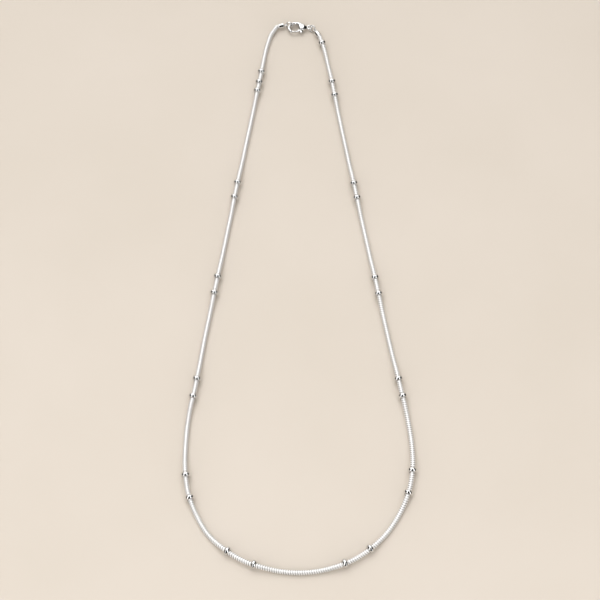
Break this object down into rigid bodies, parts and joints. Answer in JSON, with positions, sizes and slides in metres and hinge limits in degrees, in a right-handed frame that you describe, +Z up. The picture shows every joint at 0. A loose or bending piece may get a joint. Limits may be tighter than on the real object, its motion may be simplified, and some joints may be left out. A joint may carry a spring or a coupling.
{
  "type": "beaded snake chain necklace",
  "caption": "Silver necklace of round snake chain with pairs of polished rondelle beads and a lobster clasp, lying flat as a whole closed loop.",
  "frame": {"origin": "on the surface that the necklace lies on, at the middle of the loop's length and width", "axes": "+Z up off the surface, +Y along the loop from its rounded front to the clasp, +X to the right when seen from above with the clasp at the top"},
  "size_m": [0.071, 0.2018, 0.0029],
  "materials": {
    "polished_silver": "high polish",
    "snake_chain_silver": "polished plates with fine dark gaps"
  },
  "bodies": {
    "necklace": {"snake_chain": "snake_chain_silver", "bead_left_1": "polished_silver", "bead_left_2": "polished_silver", "bead_left_3": "polished_silver", "bead_left_4": "polished_silver", "bead_left_5": "polished_silver", "bead_left_6": "polished_silver", "bead_left_7": "polished_silver", "bead_left_8": "polished_silver", "bead_left_9": "polished_silver", "bead_left_10": "polished_silver", "bead_left_11": "polished_silver", "bead_left_12": "polished_silver", "bead_left_13": "polished_silver", "bead_right_1": "polished_silver", "bead_right_2": "polished_silver", "bead_right_3": "polished_silver", "bead_right_4": "polished_silver", "bead_right_5": "polished_silver", "bead_right_6": "polished_silver", "bead_right_7": "polished_silver", "bead_right_8": "polished_silver", "bead_right_9": "polished_silver", "bead_right_10": "polished_silver", "bead_right_11": "polished_silver", "bead_right_12": "polished_silver", "bead_right_13": "polished_silver", "end_cap_left": "polished_silver", "end_cap_right": "polished_silver", "claw_ring": "polished_silver", "eye_ring": "polished_silver", "clasp_body": "polished_silver", "clasp_pin": "polished_silver"},
    "lever": {"clasp_lever": "polished_silver"}
  },
  "joints": [
    {"name": "lever_hinge", "type": "hinge", "parent": "necklace", "child": "lever", "pos_m": [0.00068, 0.09782, 0.00115], "axis": [0, 0, -1], "range_deg": [0, 20], "stiffness_Nm_per_rad": 0.001, "springref_deg": -28.65}
  ]
}
